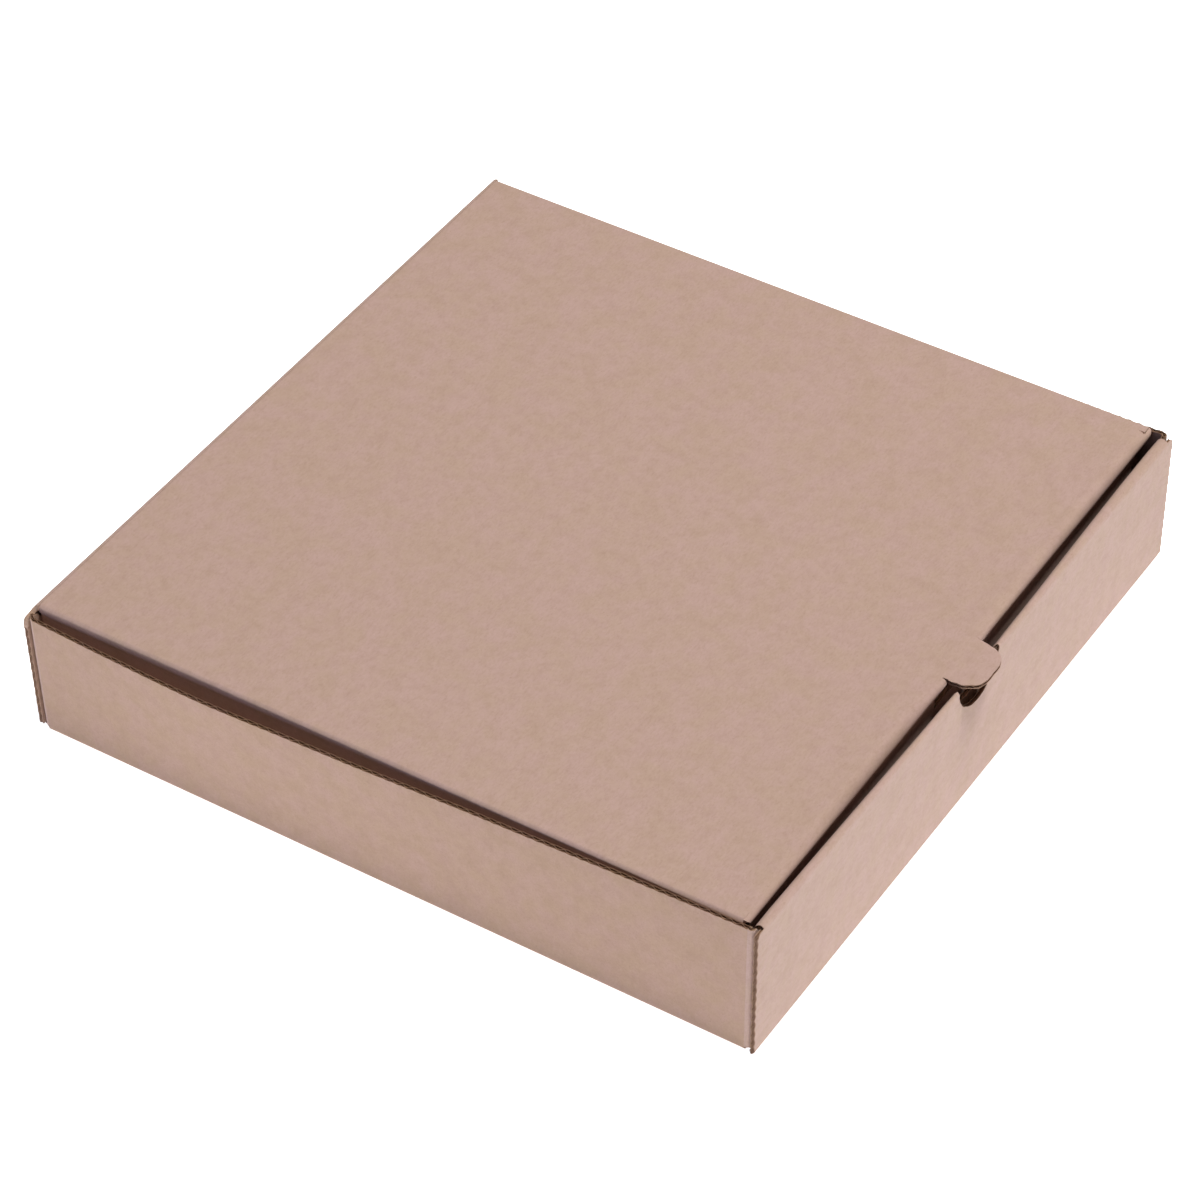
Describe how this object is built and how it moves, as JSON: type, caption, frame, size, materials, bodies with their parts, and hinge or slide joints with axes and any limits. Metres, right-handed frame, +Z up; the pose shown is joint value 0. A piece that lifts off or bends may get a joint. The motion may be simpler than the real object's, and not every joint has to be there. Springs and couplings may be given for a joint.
{
  "type": "pizza box",
  "caption": "Square shallow box folded from thin brown corrugated board, with a hinged tuck-in lid, thumb tab and roll-over front wall.",
  "frame": {"origin": "middle of the box's underside, on the surface it stands on", "axes": "+Z up, front wall with the thumb notch at -Y, hinge crease at +Y, +X to the right seen from the front"},
  "size_m": [0.2393, 0.2384, 0.0465],
  "materials": {
    "kraft_board": "matte"
  },
  "bodies": {
    "tray": {"tray": "kraft_board"},
    "lid": {"lid": "kraft_board"}
  },
  "joints": [
    {"name": "lid_hinge", "type": "hinge", "parent": "tray", "child": "lid", "pos_m": [0, 0.11625, 0.04575], "axis": [-1, 0, 0], "range_deg": [0, 180]}
  ]
}
